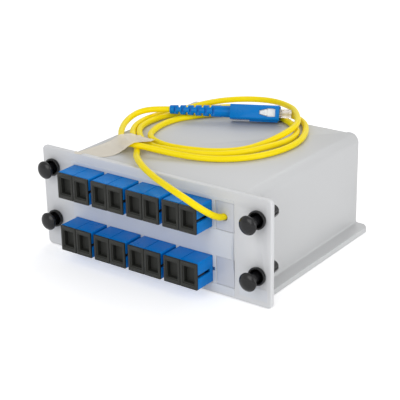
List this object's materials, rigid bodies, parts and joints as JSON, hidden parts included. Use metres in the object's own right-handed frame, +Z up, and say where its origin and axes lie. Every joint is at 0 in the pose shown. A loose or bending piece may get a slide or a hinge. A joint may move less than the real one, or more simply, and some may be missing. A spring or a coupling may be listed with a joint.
{
  "type": "plc fibre splitter",
  "caption": "Slide-in cassette that splits one fibre pigtail to two rows of capped duplex adapters, with push-pull latches and a coiled pigtail ending in a square plug.",
  "frame": {"origin": "middle of the housing's underside, half way between the panel's front face and the cover's rear face", "axes": "+X across the front panel to the right as seen from the front, +Y from the front panel to the rear, +Z up"},
  "size_m": [0.13, 0.1283, 0.0595],
  "materials": {
    "panel_paint": "fine satin powder coat",
    "cover_paint": "fine satin powder coat",
    "panel_sheet": "thin matt film, bare",
    "adapter_blue": "moulded, satin",
    "cap_black": "soft moulded, satin",
    "latch_nylon": "moulded nylon, softly glossy",
    "blank_plastic": "moulded, matt",
    "clip_steel": "spring steel, dark",
    "screw_steel": "zinc plated",
    "case_steel": "fine brushed",
    "ceramic_white": "ground zirconia",
    "guide_plastic": "moulded, matt",
    "fibre_yellow": "smooth extruded jacket",
    "tape_beige": "crepe paper tape",
    "plug_white": "moulded",
    "cap_clear": "clear soft cap"
  },
  "bodies": {
    "housing": {"front_panel": "panel_paint", "front_label": "panel_sheet", "blank_sticker": "panel_sheet", "cover": "cover_paint", "tray": "cover_paint", "rear_screws": "screw_steel", "blank_upper": "blank_plastic", "blank_lower": "blank_plastic", "adapter_lower_1": "adapter_blue", "adapter_lower_2": "adapter_blue", "adapter_lower_3": "adapter_blue", "adapter_lower_4": "adapter_blue", "adapter_upper_1": "adapter_blue", "adapter_upper_2": "adapter_blue", "adapter_upper_3": "adapter_blue", "adapter_upper_4": "adapter_blue", "adapter_clips": "clip_steel", "sleeve_holders": "adapter_blue", "latch_grommets": "latch_nylon", "strain_relief": "guide_plastic", "inner_plugs": "adapter_blue", "fibre_loom": "fibre_yellow", "splitter_case": "case_steel", "case_saddles": "clip_steel", "fibre_guides": "guide_plastic", "fibre_loop": "fibre_yellow", "pigtail_lead": "fibre_yellow", "pigtail_coil": "fibre_yellow", "pigtail_tail": "fibre_yellow", "coil_tape": "tape_beige", "plug_boot": "adapter_blue", "plug_inner_body": "plug_white", "plug_ferrule": "ceramic_white", "plug_dust_cap": "cap_clear"},
    "dust_cap_lower_1_body": {"dust_cap_lower_1": "cap_black"},
    "dust_cap_lower_2_body": {"dust_cap_lower_2": "cap_black"},
    "dust_cap_lower_3_body": {"dust_cap_lower_3": "cap_black"},
    "dust_cap_lower_4_body": {"dust_cap_lower_4": "cap_black"},
    "dust_cap_lower_5_body": {"dust_cap_lower_5": "cap_black"},
    "dust_cap_lower_6_body": {"dust_cap_lower_6": "cap_black"},
    "dust_cap_lower_7_body": {"dust_cap_lower_7": "cap_black"},
    "dust_cap_lower_8_body": {"dust_cap_lower_8": "cap_black"},
    "dust_cap_upper_1_body": {"dust_cap_upper_1": "cap_black"},
    "dust_cap_upper_2_body": {"dust_cap_upper_2": "cap_black"},
    "dust_cap_upper_3_body": {"dust_cap_upper_3": "cap_black"},
    "dust_cap_upper_4_body": {"dust_cap_upper_4": "cap_black"},
    "dust_cap_upper_5_body": {"dust_cap_upper_5": "cap_black"},
    "dust_cap_upper_6_body": {"dust_cap_upper_6": "cap_black"},
    "dust_cap_upper_7_body": {"dust_cap_upper_7": "cap_black"},
    "dust_cap_upper_8_body": {"dust_cap_upper_8": "cap_black"},
    "latch_plunger_left_low_body": {"latch_plunger_left_low": "latch_nylon"},
    "latch_plunger_left_high_body": {"latch_plunger_left_high": "latch_nylon"},
    "latch_plunger_right_low_body": {"latch_plunger_right_low": "latch_nylon"},
    "latch_plunger_right_high_body": {"latch_plunger_right_high": "latch_nylon"},
    "plug_grip_body": {"plug_grip": "adapter_blue"}
  },
  "joints": [
    {"name": "dust_cap_lower_1_slide", "type": "slide", "parent": "housing", "child": "dust_cap_lower_1_body", "axis": [0, -1, 0], "range_m": [0, 0.01]},
    {"name": "dust_cap_lower_2_slide", "type": "slide", "parent": "housing", "child": "dust_cap_lower_2_body", "axis": [0, -1, 0], "range_m": [0, 0.01]},
    {"name": "dust_cap_lower_3_slide", "type": "slide", "parent": "housing", "child": "dust_cap_lower_3_body", "axis": [0, -1, 0], "range_m": [0, 0.01]},
    {"name": "dust_cap_lower_4_slide", "type": "slide", "parent": "housing", "child": "dust_cap_lower_4_body", "axis": [0, -1, 0], "range_m": [0, 0.01]},
    {"name": "dust_cap_lower_5_slide", "type": "slide", "parent": "housing", "child": "dust_cap_lower_5_body", "axis": [0, -1, 0], "range_m": [0, 0.01]},
    {"name": "dust_cap_lower_6_slide", "type": "slide", "parent": "housing", "child": "dust_cap_lower_6_body", "axis": [0, -1, 0], "range_m": [0, 0.01]},
    {"name": "dust_cap_lower_7_slide", "type": "slide", "parent": "housing", "child": "dust_cap_lower_7_body", "axis": [0, -1, 0], "range_m": [0, 0.01]},
    {"name": "dust_cap_lower_8_slide", "type": "slide", "parent": "housing", "child": "dust_cap_lower_8_body", "axis": [0, -1, 0], "range_m": [0, 0.01]},
    {"name": "dust_cap_upper_1_slide", "type": "slide", "parent": "housing", "child": "dust_cap_upper_1_body", "axis": [0, -1, 0], "range_m": [0, 0.01]},
    {"name": "dust_cap_upper_2_slide", "type": "slide", "parent": "housing", "child": "dust_cap_upper_2_body", "axis": [0, -1, 0], "range_m": [0, 0.01]},
    {"name": "dust_cap_upper_3_slide", "type": "slide", "parent": "housing", "child": "dust_cap_upper_3_body", "axis": [0, -1, 0], "range_m": [0, 0.01]},
    {"name": "dust_cap_upper_4_slide", "type": "slide", "parent": "housing", "child": "dust_cap_upper_4_body", "axis": [0, -1, 0], "range_m": [0, 0.01]},
    {"name": "dust_cap_upper_5_slide", "type": "slide", "parent": "housing", "child": "dust_cap_upper_5_body", "axis": [0, -1, 0], "range_m": [0, 0.01]},
    {"name": "dust_cap_upper_6_slide", "type": "slide", "parent": "housing", "child": "dust_cap_upper_6_body", "axis": [0, -1, 0], "range_m": [0, 0.01]},
    {"name": "dust_cap_upper_7_slide", "type": "slide", "parent": "housing", "child": "dust_cap_upper_7_body", "axis": [0, -1, 0], "range_m": [0, 0.01]},
    {"name": "dust_cap_upper_8_slide", "type": "slide", "parent": "housing", "child": "dust_cap_upper_8_body", "axis": [0, -1, 0], "range_m": [0, 0.01]},
    {"name": "latch_plunger_left_low_slide", "type": "slide", "parent": "housing", "child": "latch_plunger_left_low_body", "axis": [0, 1, 0], "range_m": [-0.002, 0.0033]},
    {"name": "latch_plunger_left_high_slide", "type": "slide", "parent": "housing", "child": "latch_plunger_left_high_body", "axis": [0, 1, 0], "range_m": [-0.002, 0.0033]},
    {"name": "latch_plunger_right_low_slide", "type": "slide", "parent": "housing", "child": "latch_plunger_right_low_body", "axis": [0, 1, 0], "range_m": [0, 0.0053]},
    {"name": "latch_plunger_right_high_slide", "type": "slide", "parent": "housing", "child": "latch_plunger_right_high_body", "axis": [0, 1, 0], "range_m": [0, 0.0053]},
    {"name": "plug_grip_slide", "type": "slide", "parent": "housing", "child": "plug_grip_body", "axis": [-0.8922, -0.4515, 0.0072], "range_m": [0, 0.0016]}
  ]
}
